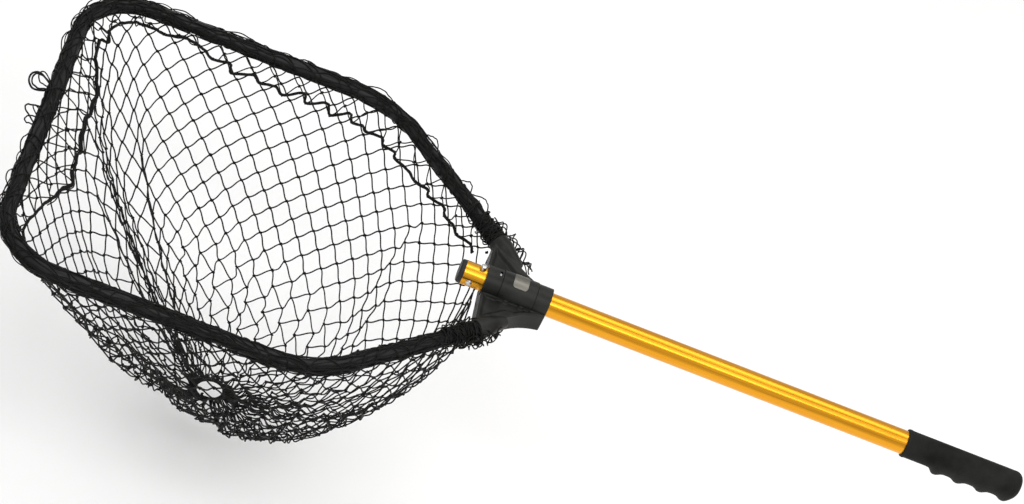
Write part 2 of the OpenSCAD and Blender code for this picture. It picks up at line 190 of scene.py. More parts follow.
def resampled(points, n):
    """n points at equal steps along a route."""
    s = np.r_[0, np.cumsum(np.linalg.norm(np.diff(points, axis=0), axis=1))]
    at = np.linspace(0, s[-1], n)
    return np.stack([np.interp(at, s, points[:, k]) for k in range(points.shape[1])], 1)


def hermite(p0, p1, m0, m1, k):
    """Curves of k points from p0 to p1 that leave along m0 and arrive along m1."""
    t = np.linspace(0, 1, k)[None, :, None]
    p0, p1, m0, m1 = (x[:, None] for x in (p0, p1, m0, m1))
    return ((2 * t ** 3 - 3 * t ** 2 + 1) * p0 + (t ** 3 - 2 * t ** 2 + t) * m0
            + (-2 * t ** 3 + 3 * t ** 2) * p1 + (t ** 3 - t ** 2) * m1)


# ---------------------------------------------------------------- materials

class Shader:
    """A Principled material with noise-driven colour, roughness and bump, all in object coordinates."""

    def __init__(self, name, base, rough, metal=0.0, specular=0.5, coat=0.0, sheen=0.0):
        self.material = bpy.data.materials.new(name)
        self.material.use_nodes = True
        self.tree = self.material.node_tree
        self.bsdf = self.tree.nodes["Principled BSDF"]
        self.bsdf.inputs["Base Color"].default_value = (*base, 1)
        self.bsdf.inputs["Roughness"].default_value = rough
        self.bsdf.inputs["Metallic"].default_value = metal
        self.bsdf.inputs["Specular IOR Level"].default_value = specular
        self.bsdf.inputs["Coat Weight"].default_value = coat
        self.bsdf.inputs["Coat Roughness"].default_value = 0.15
        self.bsdf.inputs["Sheen Weight"].default_value = sheen
        self.coords = self.node("ShaderNodeTexCoord")
        self.material.diffuse_color = (*base, 1)

    def node(self, kind, **values):
        made = self.tree.nodes.new(kind)
        for key, value in values.items():
            setattr(made, key, value)
        return made

    def link(self, a, b):
        self.tree.links.new(a, b)

    def mapped(self, scale, output="Object", turn=(0, 0, 0)):
        m = self.node("ShaderNodeMapping")
        m.inputs["Scale"].default_value = scale
        m.inputs["Rotation"].default_value = turn
        self.link(self.coords.outputs[output], m.inputs["Vector"])
        return m.outputs["Vector"]

    def noise(self, scale, detail=4.0, rough=0.55, stretch=(1, 1, 1), distortion=0.0):
        n = self.node("ShaderNodeTexNoise")
        n.inputs["Scale"].default_value = scale
        n.inputs["Detail"].default_value = detail
        n.inputs["Roughness"].default_value = rough
        n.inputs["Distortion"].default_value = distortion
        self.link(self.mapped(stretch), n.inputs["Vector"])
        return n.outputs["Fac"]

    def ramp(self, fac, stops):
        r = self.node("ShaderNodeValToRGB")
        elements = r.color_ramp.elements
        for element, (where, colour) in ((elements[0], stops[0]), (elements[-1], stops[-1])):
            element.position = where
            element.color = (*colour, 1)
        for where, colour in stops[1:-1]:
            elements.new(where).color = (*colour, 1)
        self.link(fac, r.inputs["Fac"])
        return r.outputs["Color"]

    def span(self, fac, low, high, to_low, to_high):
        m = self.node("ShaderNodeMapRange")
        for key, value in zip(("From Min", "From Max", "To Min", "To Max"), (low, high, to_low, to_high)):
            m.inputs[key].default_value = value
        self.link(fac, m.inputs["Value"])
        return m.outputs["Result"]

    def math(self, kind, a, b=0.0):
        m = self.node("ShaderNodeMath", operation=kind)
        for i, v in enumerate((a, b)):
            if isinstance(v, (int, float)):
                m.inputs[i].default_value = v
            else:
                self.link(v, m.inputs[i])
        return m.outputs["Value"]

    def bump(self, height, strength, distance, under=None):
        b = self.node("ShaderNodeBump")
        b.inputs["Strength"].default_value = strength
        b.inputs["Distance"].default_value = distance
        self.link(height, b.inputs["Height"])
        if under is not None:
            self.link(under, b.inputs["Normal"])
        self.link(b.outputs["Normal"], self.bsdf.inputs["Normal"])
        return b.outputs["Normal"]

    def colour(self, socket):
        self.link(socket, self.bsdf.inputs["Base Color"])

    def roughness(self, socket):
        self.link(socket, self.bsdf.inputs["Roughness"])


def gold_anodised():
    """Drawn and anodised tube: faint lines along it, cloudy colour and slight dents."""
    s = Shader("gold_anodised", (0.86, 0.35, 0.014), 0.25, metal=1.0, coat=0.1)
    lines = s.noise(900, 3, 0.5, stretch=(0.012, 1, 1))
    cloud = s.noise(9, 3, 0.5, stretch=(0.5, 1, 1))
    both = s.math("ADD", s.math("MULTIPLY", lines, 0.5), s.math("MULTIPLY", cloud, 0.5))
    s.colour(s.ramp(both, [(0.32, (0.74, 0.30, 0.013)), (0.5, (0.83, 0.365, 0.019)),
                           (0.68, (0.90, 0.43, 0.030))]))
    s.roughness(s.span(lines, 0.3, 0.7, 0.22, 0.34))
    fine = s.bump(lines, 0.10, 0.0002)
    dents = s.noise(60, 2, 0.5)
    s.bump(dents, 0.03, 0.001, fine)
    return s.material


def moulded_black(name, base, rough, grain=1400, strength=0.25, scuff=0.5, specular=0.16):
    """Black plastic, rubber or paint with a fine grain and worn, lighter patches."""
    s = Shader(name, base, rough, specular=specular)
    fine = s.noise(grain, 5, 0.6)
    broad = s.noise(38, 4, 0.55)
    light = tuple(min(1, c * 1.9 + 0.006) for c in base)
    s.colour(s.ramp(broad, [(0.34, base), (0.66, light)]))
    s.roughness(s.span(broad, 0.3, 0.7, rough - 0.10 * scuff, rough + 0.16 * scuff))
    under = s.bump(broad, 0.10, 0.0012)
    s.bump(fine, strength, 0.00025, under)
    return s.material


def metal_finish(name, base, rough, grain=(1, 1, 1), scale=700, strength=0.08):
    """Bare or plated metal; grain stretches its fine marks, as brushing does."""
    s = Shader(name, base, rough, metal=1.0)
    n = s.noise(scale, 4, 0.6, stretch=grain)
    s.colour(s.ramp(n, [(0.3, tuple(c * 0.82 for c in base)), (0.7, base)]))
    s.roughness(s.span(n, 0.3, 0.7, max(0.03, rough * 0.75), rough * 1.35))
    s.bump(n, strength, 0.0002)
    return s.material


def twine(name, base, rough, lay=2.0, pitch=2.6, strength=0.7, specular=0.12):
    """Twisted twine: diagonal grooves from the UVs, which run round it and along it in millimetres; its
    colour has painted shade in the grooves.
    """
    s = Shader(name, base, rough, specular=specular)
    xyz = s.node("ShaderNodeSeparateXYZ")
    s.link(s.coords.outputs["UV"], xyz.inputs["Vector"])
    phase = s.math("ADD", s.math("MULTIPLY", xyz.outputs["X"], lay),
                   s.math("DIVIDE", xyz.outputs["Y"], pitch))
    lobe = s.math("ABSOLUTE", s.math("SINE", s.math("MULTIPLY", phase, math.pi)))
    fibre = s.noise(2600, 3, 0.6)
    broad = s.noise(55, 3, 0.6)
    height = s.math("ADD", lobe, s.math("MULTIPLY", fibre, 0.25))
    # The colour is half painted light: painted shade darkens the twist's grooves and a painted highlight
    # lightens its ridges. The other half is a random tone from the broad noise.
    dark = tuple(c * 0.45 for c in base)
    light = tuple(min(1, c * 1.8 + 0.004) for c in base)
    s.colour(s.ramp(s.math("ADD", s.math("MULTIPLY", lobe, 0.5), s.math("MULTIPLY", broad, 0.5)),
                    [(0.25, dark), (0.55, base), (0.85, light)]))
    s.roughness(s.span(broad, 0.3, 0.7, rough - 0.08, rough + 0.12))
    s.bump(height, strength, 0.0003)
    return s.material


def floor_material():
    """Plain white paper."""
    s = Shader("floor_paper", (0.98, 0.98, 0.975), 0.8, specular=0.1)
    n = s.noise(6, 3, 0.5)
    s.colour(s.ramp(n, [(0.3, (0.965, 0.965, 0.96)), (0.7, (0.985, 0.985, 0.98))]))
    return s.material


GOLD = gold_anodised()
YOKE = moulded_black("yoke_moulding", (0.010, 0.010, 0.009), 0.40, 1500, 0.22)
PLUG = moulded_black("plug_moulding", (0.022, 0.022, 0.022), 0.5, 1800, 0.3)
RUBBER = moulded_black("grip_rubber", (0.006, 0.006, 0.005), 0.62, 1100, 0.6, scuff=0.4, specular=0.1)
CHROME = metal_finish("chrome", (0.80, 0.80, 0.80), 0.10)
ZINC = metal_finish("zinc_plate", (0.62, 0.63, 0.64), 0.28, scale=1200, strength=0.15)
SPRING = metal_finish("spring_steel", (0.50, 0.51, 0.54), 0.30, grain=(0.05, 1, 1))
BADGE = metal_finish("badge_metal", (0.20, 0.19, 0.165), 0.40, grain=(0.03, 1, 1), scale=1500, strength=0.2)
COATING = moulded_black("hoop_coating", (0.007, 0.007, 0.007), 0.36, 900, 0.2)
TWINE = twine("net_twine", (0.006, 0.006, 0.0055), 0.46)
CORD = twine("lashing_twine", (0.006, 0.006, 0.0055), 0.40, lay=3, pitch=4.2)


def piece(obj, material, body, slot, *replaced):
    """Gives a piece its material and its body, and hides the CAD nodes it stands for; slot is not used."""
    obj.data.materials.clear()
    obj.data.materials.append(material)
    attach(obj, body)
    if replaced:
        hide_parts(*replaced)
    return obj


# ---------------------------------------------------------------- the hoop's route

def arc(centre, r, start, end, steps):
    """Points on an arc, with its angles in degrees."""
    a = np.radians(np.linspace(start, end, steps))
    return np.c_[centre[0] + r * np.cos(a), centre[1] + r * np.sin(a)]


def hoop_route(past):
    """Points from the near socket round the far bar to the far socket; past goes into the sockets."""
    along = np.array([-math.cos(LEG), math.sin(LEG)])
    corner_x = MOUTH[0] - (HALF - MOUTH[1]) / math.tan(LEG)
    start = corner_x - BEND * math.tan(LEG / 2)
    corner = arc([CORNER - REACH, HALF - CORNER], CORNER, 180, 90, 24)
    bend = arc([start, HALF - BEND], BEND, 90, 90 - math.degrees(LEG), 20)
    half = np.vstack([[[-REACH, 0]], corner, bend, [MOUTH - past * along]])
    half = resampled(half, 300)
    return np.vstack([half[:0:-1] * [1, -1], half])


ROUTE = hoop_route(0.0)
ROUTE_S = np.r_[0, np.cumsum(np.linalg.norm(np.diff(ROUTE, axis=0), axis=1))]
LENGTH = ROUTE_S[-1]
ROUTE_T = unit(np.gradient(ROUTE, axis=0))


def on_hoop(s, angle, r):
    """Points round the hoop's tube: s along it, angle 0 inwards and 90 degrees up, r from its middle."""
    s, angle, r = np.broadcast_arrays(np.asarray(s, float), angle, r)
    inside = np.clip(s, 0, LENGTH)
    c = np.stack([np.interp(inside, ROUTE_S, ROUTE[:, k]) for k in (0, 1)], -1)
    t = unit(np.stack([np.interp(inside, ROUTE_S, ROUTE_T[:, k]) for k in (0, 1)], -1))
    c = c + t * (s - inside)[..., None]
    inward = np.stack([t[..., 1], -t[..., 0]], -1)
    p = c + (r * np.cos(angle))[..., None] * inward
    return np.concatenate([p, (HOOP_Z + r * np.sin(angle))[..., None]], -1)


def column_places():
    """Where along the hoop each column of meshes is tied; the meshes are wider spaced on the far bar."""
    s = np.linspace(0, LENGTH, 2000)
    density = 1 - 0.3 * np.clip((s - FAR_TIES[0]) / 20, 0, 1) * np.clip((FAR_TIES[1] - s) / 20, 0, 1)
    total = np.r_[0, np.cumsum((density[1:] + density[:-1]) / 2)]
    ties = np.interp(np.linspace(0, total[-1], N - FRONT), total, s)
    return np.r_[ties, LENGTH + 30 * np.arange(1, FRONT + 1)]


def rim_points():
    """Where the bag's top knots are pinned: along the hoop's underside, then across the front."""
    pts = on_hoop(column_places()[:N - FRONT], math.radians(-60), 9.2)
    w = (np.arange(1, FRONT + 1) / (FRONT + 1))[:, None]
    front = pts[-1] * (1 - w) + pts[0] * w
    front[:, 0] -= 6 * np.sin(np.pi * w[:, 0])
    front[:, 2] -= 10 * np.sin(np.pi * w[:, 0])
    return np.vstack([pts, front])


# ---------------------------------------------------------------- the bag, as hanging netting

def net_plan():
    """For each column of meshes, in bars: how open it is kept, and how tall two and how wide one may be."""
    s = column_places()
    open_to = np.where((s > 560) & (s < 1430), 1.0, 0.8)
    tall = np.interp(s, [0, 120, 250, 380, 460, 570, 700, 850, 880, 1417, 1480],
                     [1.25, 1.20, 1.16, 1.15, 1.22, 1.4, 1.45, 1.45, 1.45, 1.45, 1.28])
    tall = (np.roll(tall, 1) + tall + np.roll(tall, -1)) / 3
    wide = np.full(N, 1.9)
    for fold, reach in ((FOLD, 2), (SLACK_FOLD, 1)):
        near = np.abs(np.arange(N) - fold) <= reach
        open_to[near], tall[near] = 0.05, 1.45
    wide[FOLD - 1:FOLD + 2] = 0.3, 0.2, 0.6
    wide[SLACK_FOLD] = 0.85
    return open_to, tall, wide


def ring_frame():
    """The gather's outward normal, and two directions in its plane."""
    face = unit(np.array([0.176, -0.105, -0.98]))
    first = unit(np.array([1.0, 0, 0]) - face[0] * face)
    return face, first, np.cross(face, first)


def hang_net(rim, steps=400, passes=14):
    """Knots of a diamond-mesh bag of N by M bars that hangs from the rim and is gathered at RING."""
    local = np.random.default_rng(3)
    X = np.zeros((M + 1, N, 3))
    between = (rim + np.roll(rim, -1, 0)) / 2
    axis = unit(RING - rim.mean(0))
    e1 = unit(np.cross(axis, [0, 1, 0]))
    e2 = np.cross(axis, e1)
    _, f1, f2 = ring_frame()
    for j in range(M + 1):
        base = rim if j % 2 == 0 else between
        rel = base - rim.mean(0)
        a = np.arctan2(rel @ e2, rel @ e1)
        foot = RING + RING_R * (np.cos(a)[:, None] * f1 + np.sin(a)[:, None] * f2)
        t = j / M
        X[j] = base * (1 - t) + foot * t + math.sin(math.pi * t) * 40 * (DOWN + 0.4 * unit(rel))
    X[1:-1] += local.normal(0, 1.5, X[1:-1].shape)
    fixed = X.copy()
    V = np.zeros_like(X)
    W = np.ones((M + 1, N, 1))
    W[0] = W[-1] = 0
    dt = 0.012

    def pull(a, b, wa, wb, low, high, soft, hard):
        d = b - a
        ln = np.linalg.norm(d, axis=-1, keepdims=True) + 1e-9
        c = np.where(ln > high, (ln - high) * hard, np.where(ln < low, (ln - low) * soft, 0.0))
        w = wa + wb + 1e-9
        move = d / ln * c
        return move * (wa / w), -move * (wb / w)

    row = np.arange(M + 1)[:, None, None]
    open_to, tall, wide = (v[None, :, None] for v in net_plan())
    fade = np.clip((M - 2 - row) / (0.45 * M), 0, 1)
    low = (open_to * fade)[1:-1] * 1.3 * BAR
    high = np.where((row > 4) & (row < M - 3), wide, 1.9)[1:-1] * BAR
    for step in range(steps):
        V = V * (0.985 if step < steps * 0.8 else 0.9) + DOWN * 9810 * dt * (W > 0) * 0.25
        before = X.copy()
        X = X + V * dt
        for _ in range(passes):
            for parity in (0, 1):
                rows = np.arange(parity, M, 2)
                for k in (0, 1):
                    shift = (-k) if parity == 0 else k
                    below, weight = (np.roll(v[rows + 1], -shift, 1) for v in (X, W))
                    ca, cb = pull(X[rows], below, W[rows], weight, 0.8 * BAR, BAR, 0.15, 1.0)
                    X[rows] += ca
                    X[rows + 1] += np.roll(cb, shift, 1)
            ca, cb = pull(X[1:-1], np.roll(X[1:-1], -1, 1), W[1:-1], W[1:-1], low, high, 0.25, 0.3)
            X[1:-1] += ca * 0.5
            X[1:-1] += np.roll(cb, 1, 1) * 0.5
            ca, cb = pull(X[:-2], X[2:], W[:-2], W[2:], 0.7 * BAR, tall * BAR, 0.06, 0.5)
            X[:-2] += ca * 0.5
            X[2:] += cb * 0.5
        V = (X - before) / dt
        V *= np.minimum(1, 900 / (np.linalg.norm(V, axis=-1, keepdims=True) + 1e-9))
        X[0], X[-1] = fixed[0], fixed[-1]
    return X


def bars_of(X, lean=0.75, closed=True):
    """Twine from knot to knot. Each bar leaves its knots leaning along the row, so it is a shallow S."""
    rows, n = X.shape[:2]
    if closed:
        along = unit(np.roll(X, -1, 1) - np.roll(X, 1, 1))
    else:
        along = unit(np.gradient(X, axis=1))
    out = []
    for j in range(rows - 1):
        for k in (0, 1):
            shift = (-k) if j % 2 == 0 else k
            sign = 1.0 if shift == (1 if j % 2 else 0) else -1.0
            a, b = X[j], np.roll(X[j + 1], -shift, 0)
            ta, tb = along[j], np.roll(along[j + 1], -shift, 0)
            d = b - a
            ln = np.linalg.norm(d, axis=-1, keepdims=True)
            sgn = np.sign((d * ta).sum(-1, keepdims=True) + 1e-6 * sign)
            m0 = unit(unit(d) + lean * sgn * ta) * ln
            sgn = np.sign((d * tb).sum(-1, keepdims=True) + 1e-6 * sign)
            m1 = unit(unit(d) + lean * sgn * tb) * ln
            keep = slice(None)
            if not closed:
                keep = slice(0, n - 1) if shift >= 0 else slice(1, n)
            slack = np.maximum(0, BAR - ln) * 0.7
            sag = DOWN[None] + rng.normal(0, 0.5, (len(a), 3))
            curve = hermite(a, b, m0, m1, 8)
            t = np.linspace(0, 1, 8)[None, :, None]
            curve = curve + (slack * unit(sag))[:, None] * (np.sin(np.pi * t) ** 2) * 0.9
            out.append(curve[keep])
    return np.concatenate(out)


def knots_of(centres, axes, size=2.25):
    """A small overhand knot at each centre, turned along its axis."""
    t = 2 * np.pi * np.arange(12) / 12
    trefoil = [np.sin(t) + 2 * np.sin(2 * t), np.cos(t) - 2 * np.cos(2 * t), -1.3 * np.sin(3 * t)]
    loop = np.stack(trefoil, -1) / 3
    n = len(centres)
    a = unit(axes)
    ref = unit(rng.normal(0, 1, (n, 3)))
    b = unit(np.cross(a, ref))
    c = np.cross(a, b)
    scale = size * rng.uniform(0.85, 1.15, (n, 1, 1))
    shape = 0.75 * loop[None, :, 0:1] * a[:, None] + 0.6 * (loop[None, :, 1:2] * b[:, None]
                                                            + loop[None, :, 2:3] * c[:, None])
    paths = centres[:, None] + scale * shape
    return sweep(paths, 0.78, 5, closed=True)


def eased(X):
    """The bunched column hangs as one rope, and the rows near the gather lie flatter."""
    rope = np.interp(np.abs(np.arange(N) - FOLD - 0.3), [0.6, 2.6], [0.85, 0.0])[None, :, None]
    low = np.interp(np.arange(M + 1), [12, 17, M - 2, M], [0, 0.5, 0.5, 0])[:, None, None]
    high = np.interp(np.arange(M + 1), [3, 7], [0, 1])[:, None, None]
    for _ in range(2):
        share = np.maximum(rope * high, low)[1:-1]
        X[1:-1] = X[1:-1] * (1 - share) + share * (0.5 * X[1:-1] + 0.25 * (X[:-2] + X[2:]))
    return X


rim = rim_points()
X = eased(hang_net(rim, 400))

bars = bars_of(X)
half = len(bars) // 2
upper_bars = mesh_object("net_upper", *sweep(bars[:half], 0.82, 6))
piece(upper_bars, TWINE, "net_head", "netting_twine", "net_bag")
lower_bars = mesh_object("net_lower", *sweep(bars[half:], 0.78, 6))
piece(lower_bars, TWINE, "net_head", "netting_twine")

row_axis = unit(np.roll(X, -1, 1) - np.roll(X, 1, 1))
knots = mesh_object("net_knots", *knots_of(X[1:-1].reshape(-1, 3), row_axis[1:-1].reshape(-1, 3)))
piece(knots, TWINE, "net_head", "netting_twine")

# ---------------------------------------------------------------- the rim: hoop, windings and folded-in rows

route = hoop_route(LEG_IN)
hoop = mesh_object("hoop_visual", *sweep(np.c_[route, np.full(len(route), HOOP_Z)], HOOP_R, 28))
piece(hoop, COATING, "net_head", "hoop_coating", "hoop_tube")


def wander(s, seed, scale):
    """A smooth random line along s, of mean 0."""
    local = np.random.default_rng(seed)
    out = np.zeros_like(s)
    for wave, weight in ((310, 1.0), (150, 0.7), (63, 0.5), (29, 0.3)):
        out += weight * np.sin(2 * np.pi * s / (wave * local.uniform(0.85, 1.15)) + local.uniform(0, 6.28))
    return out * scale / 1.3


S_LINE = np.linspace(2, LENGTH - 2, 520)


def long_strands(count=22):
    """Twine wound along the hoop in long turns, half of it each way."""
    lines = []
    for i in range(count):
        turns = (1 if i % 2 else -1) * 2 * np.pi * S_LINE / (520 + 90 * (i % 5))
        angle = 2 * np.pi * i / count + turns + wander(S_LINE, 40 + i, 0.5)
        out = HOOP_R + 0.2 + 0.35 * (i % 3) + np.clip(wander(S_LINE, 80 + i, 0.7), -0.3, 1.5)
        lines.append(on_hoop(S_LINE, angle, out))
    return sweep(np.stack(lines), 0.68, 6)


def loose_strands(count=7):
    """Strands along the outer side that stand off the hoop between their ties."""
    lines = []
    for i in range(count):
        angle = math.radians(160 + 18 * i) + wander(S_LINE, 120 + i, 0.3)
        share = np.clip(0.4 + wander(S_LINE, 150 + i, 0.9), 0, 1.4)
        stand = HOOP_R + 0.8 + 2.7 * np.abs(np.sin(np.pi * S_LINE / (27 + 5.3 * i) + i)) * share
        lines.append(on_hoop(S_LINE, angle, stand))
    return sweep(np.stack(lines), 0.6, 6)


def lacing_turns(pitch=17.0):
    """Single tilted turns that lace the top row of meshes to the hoop."""
    places = np.arange(8, LENGTH - 6, pitch)
    places = places + rng.uniform(-7, 7, len(places))
    t = np.linspace(0, 2 * np.pi, 24, endpoint=False)[None]
    tilt = rng.uniform(4, 17, len(places)) * rng.choice([-1, 1], len(places))
    fat = HOOP_R + 1.0 + rng.uniform(-0.2, 0.6, len(places))
    loops = on_hoop(places[:, None] + tilt[:, None] * np.cos(t), t, fat[:, None] + 0.3 * np.sin(3 * t))
    return sweep(loops, 0.66, 6, closed=True)


def stand_loop(s0, s1, reach, lift, wide, seed):
    """A slack loop of twine that stands out from the hoop; wide spreads its head along the hoop."""
    local = np.random.default_rng(seed)
    u = np.linspace(0, 1, 13)
    bulge = np.sin(np.pi * u)
    s = s0 + (s1 - s0) * u - wide * np.sin(2 * np.pi * u)
    c = on_hoop(s, math.pi, HOOP_R + reach * bulge)
    c[:, 2] += lift * bulge + local.uniform(-0.7, 0.7, 13)
    return catmull(c, 6)


# Slack loops: where along the hoop each starts and ends, its reach, lift and width, and the twine's radius
STRAY_LOOPS = (
    (742, 754, 22, 3, 9, 1.1), (744, 752, 19, 4, 8, 0.9), (748, 756, 14, 8, 6, 0.75),
    (690, 716, 15, 6, 0, 0.9), (688, 700, 11, -2, 2, 0.8), (700, 712, 8, 8, 0, 0.7),
    (640, 676, 6, 2, 0, 0.7), (590, 622, 7, 2, 0, 0.7), (800, 842, 6, 3, 0, 0.7),
    (1180, 1222, 7, 4, 0, 0.7), (1262, 1290, 6, 6, 0, 0.7), (1330, 1352, 8, 5, 0, 0.7),
    (1350, 1384, 9, 6, 0, 0.7), (1100, 1138, 4, 3, 0, 0.7), (960, 1000, 6, 3, 0, 0.7),
    (905, 948, 6, 4, 0, 0.7), (560, 585, 5, 2, 0, 0.7), (475, 510, 5, 1, 0, 0.7),
    (870, 905, 5, 4, 0, 0.7), (1020, 1070, 5, 4, 0, 0.7))
stray = [sweep(stand_loop(*loop[:5], seed), loop[5], 6) for seed, loop in enumerate(STRAY_LOOPS)]

windings = mesh_object("rim_windings", *long_strands())
piece(windings, CORD, "net_head", "lashing_twine", "rim_lashing")
rim_loops = mesh_object("rim_loops", *join([loose_strands(), lacing_turns(), *stray]))
piece(rim_loops, CORD, "net_head", "lashing_twine")


def flap_reach(s):
    """How far the folded-in rows hang inside the hoop: inwards and down, at s along the hoop."""
    inward = np.interp(s, [0, 60, 330, 430, 520, 580, 640, 700, 760, 800, 830, 850, 880, 920, 960, 1050,
                           1200, 1330, LENGTH],
                       [14, 16, 17, 16, 15, 24, 50, 49, 38, 31, 24, 31, 24, 13, 15, 19, 22, 20, 15])
    drop = np.interp(s, [0, 60, 400, 540, 640, 760, 845, 900, 960, 1050, 1200, 1330, LENGTH],
                     [16, 20, 22, 16, 15, 16, 10, 9, 13, 19, 24, 24, 18])
    return inward, drop


def flap_points(row, n):
    """A row of the netting that is folded in over the hoop and hangs inside it."""
    s = np.linspace(10, LENGTH - 10, n)
    if row % 2:
        s = s + (s[1] - s[0]) / 2
    inward, drop = flap_reach(s)
    share = (0.0, 0.55, 1.0)[row]
    inward = HOOP_R + 0.8 + (inward - HOOP_R) * share + wander(s, 230 + row, 1.4) * (row > 0)
    drop = 1 + drop * share + wander(s, 200 + row, 1.8) * (row > 0)
    base = on_hoop(s, 0.0, 0.0)
    c = on_hoop(s, 0.0, 1.0) - base
    return base + c * inward[:, None] + np.array([0, 0, -1.0]) * drop[:, None] + np.array([0, 0, 2.0])


def selvedge_mesh(upper, lower):
    """The heavier cord that zigzags along the folded netting's lower edge.

    It is three twisted strands, with a slack bundle beside them on the far bar."""
    knots = []
    for i in range(N_FLAP - 1):
        mid = (lower[i] + lower[i + 1]) / 2
        up = (upper[i] + upper[i + 1]) / 2 - mid
        s = 10 + (LENGTH - 20) * (i + 0.5) / (N_FLAP - 1)
        lift = 0.14 if 560 < s < 820 else rng.uniform(0.1, 0.62)
        knots += [lower[i], mid + up * lift]
    core = catmull(np.array(knots + [lower[-1]]), 7)
    twisted = []
    for k in range(3):
        wind = 2 * np.pi * (np.arange(len(core)) / 15 + k / 3)
        twisted.append(core + 0.85 * np.c_[np.cos(wind), np.sin(wind) * 0.6, np.sin(wind)])
    s = np.arange(len(core)) / len(core) * LENGTH
    line = core[(s > 600) & (s < 845)]
    place = np.linspace(0, 240, len(line))
    bundle = []
    for k in range(5):
        off = np.stack([wander(place, 300 + 3 * k + j, 1.7) for j in range(3)], 1)
        bundle.append(line + off + [0, 0, 0.5 * (k - 2)])
    return join([sweep(np.stack(twisted), 0.85, 6), sweep(np.stack(bundle), 0.7, 6)])


flap_rows = np.stack([flap_points(row, N_FLAP) for row in range(3)])
flap_rows[1] += rng.normal(0, 1.6, flap_rows[1].shape)
flap_rows[2] += rng.normal(0, 2.3, flap_rows[2].shape)
flap = mesh_object("flap_bars", *join([sweep(bars_of(flap_rows, closed=False), 0.7, 6),
                                       knots_of(flap_rows[1:].reshape(-1, 3), np.ones((2 * N_FLAP, 3)))]))
piece(flap, TWINE, "net_head", "netting_twine")
selvedge = mesh_object("selvedge", *selvedge_mesh(flap_rows[1], flap_rows[2]))
piece(selvedge, CORD, "net_head", "lashing_twine", "selvedge_cord")

# ---------------------------------------------------------------- lashings at the sockets


def leg_wraps(end, name, node):
    """Untidy turns and tangled loops of twine in front of a socket, and a chain of loops on its outer side.

    end is 0 for the near socket and 1 for the far one."""
    s0 = 1.5 if end == 0 else LENGTH - 1.5
    way = 1 if end == 0 else -1
    local = np.random.default_rng(60 + end)
    parts = []
    for layer in range(2):
        u = np.linspace(0, 1, 300)
        s = s0 + way * (30 * u + 2.4 * np.sin(u * 34 + layer))
        angle = way * 2 * np.pi * u * (11 - 3 * layer) + layer * 2.1
        r = HOOP_R + 0.9 + 0.8 * layer + 0.5 * np.sin(u * 31 + 2 * layer)
        parts.append(sweep(on_hoop(s, angle, r), 0.75, 6))
    for i in range(16):
        t = np.linspace(0, 2 * np.pi, 20, endpoint=False)
        s = s0 + way * local.uniform(2, 32) + local.uniform(3, 11) * np.cos(t + local.uniform(0, 6.28))
        r = HOOP_R + 1.4 + local.uniform(0, 1.6) + 0.5 * np.sin(3 * t + i)
        parts.append(sweep(on_hoop(s, t, r), 0.7, 6, closed=True))
    for i in range(26):
        u = np.linspace(0, 1, 7)
        s = s0 + way * (local.uniform(-6, 40) + local.uniform(-14, 16) * u)
        angle = local.uniform(0, 6.28) + u * local.uniform(1.2, 4.2)
        r = HOOP_R + 1.6 + local.uniform(1, 8) * local.uniform(0.4, 1) * np.sin(np.pi * u) ** 1.1
        c = on_hoop(s, angle, r) + local.normal(0, 0.7, (7, 3))
        parts.append(sweep(catmull(c, 6), 0.72, 6))
    for i in range(3):
        u = np.linspace(0, 1, 5)
        s = s0 + way * (local.uniform(2, 26) + local.uniform(-8, 8) * u)
        angle = local.uniform(0, 6.28) + u * local.uniform(-1, 1)
        r = HOOP_R + 1.8 + local.uniform(7, 12) * u
        parts.append(sweep(catmull(on_hoop(s, angle, r), 4), 0.66, 6))
    reach = 74 if end else 52
    u = np.linspace(0, 1, 90)
    s = 26 - reach * u
    beside = 11.6 - 0.12 * np.clip(-s - 12, 0, 26)
    for k in range(4):
        links = 1 + np.sin(2 * np.pi * (reach * u / (13 + 2 * (k // 2)) + k / 2))
        out = beside + 0.8 + (1.6 + 2.0 * np.sin(np.pi * u)) * links
        angle = math.pi + 0.22 * (k - 1.5) + 0.3 * np.sin(2 * np.pi * reach * u / 19 + k)
        line = on_hoop(s0 + way * s, angle, out) + wander(u * 300, 400 + 10 * end + k, 0.35)[:, None]
        parts.append(sweep(line, 0.72, 6))
    obj = mesh_object(name, *join(parts))
    return piece(obj, CORD, "net_head", "lashing_twine", node)


leg_wraps(0, "near_leg_wraps", "near_leg_lashing")
leg_wraps(1, "far_leg_wraps", "far_leg_lashing")

# ---------------------------------------------------------------- the gathered bottom


def gather_mesh(loops=62):
    """The cord ring, and the last row's twine in long narrow loops round it, longest on the upper side."""
    face, e1, e2 = ring_frame()
    a = np.linspace(0, 2 * np.pi, 60, endpoint=False)
    radius = RING_R + 0.4 + 0.9 * np.sin(3 * a) + 0.6 * np.sin(5 * a + 1)
    ring = (RING + radius[:, None] * (np.cos(a)[:, None] * e1 + np.sin(a)[:, None] * e2)
            + face * (1.3 * np.sin(3 * a))[:, None])
    parts = [sweep(ring, 0.8, 6, closed=True)]
    upper_side = unit(np.array([-0.2, 0.7, 0.5]))
    u = np.linspace(0, 2 * np.pi, 18, endpoint=False)
    along = (1 - np.cos(u))[:, None] / 2
    for i in range(loops):
        place = 2 * np.pi * (i + rng.uniform(-0.3, 0.3)) / loops
        out = math.cos(place) * e1 + math.sin(place) * e2
        side = np.cross(face, out)
        above = 0.5 + 0.5 * float(out @ upper_side)
        reach = rng.uniform(4, 8) + 13 * above ** 2 * rng.uniform(0.5, 1)
        lift = rng.uniform(-2, 3) - 4 * above
        across = ((0.15 + 0.11 * np.cos(u)) * reach * np.sin(u))[:, None]
        loop = RING + out * (RING_R - 1) + out * reach * along + side * across - face * lift * along
        parts.append(sweep(loop, 0.62, 6, closed=True))
    return join(parts)


gather = mesh_object("gather", *gather_mesh())
piece(gather, CORD, "net_head", "lashing_twine", "gather_cord")

# ---------------------------------------------------------------- grip


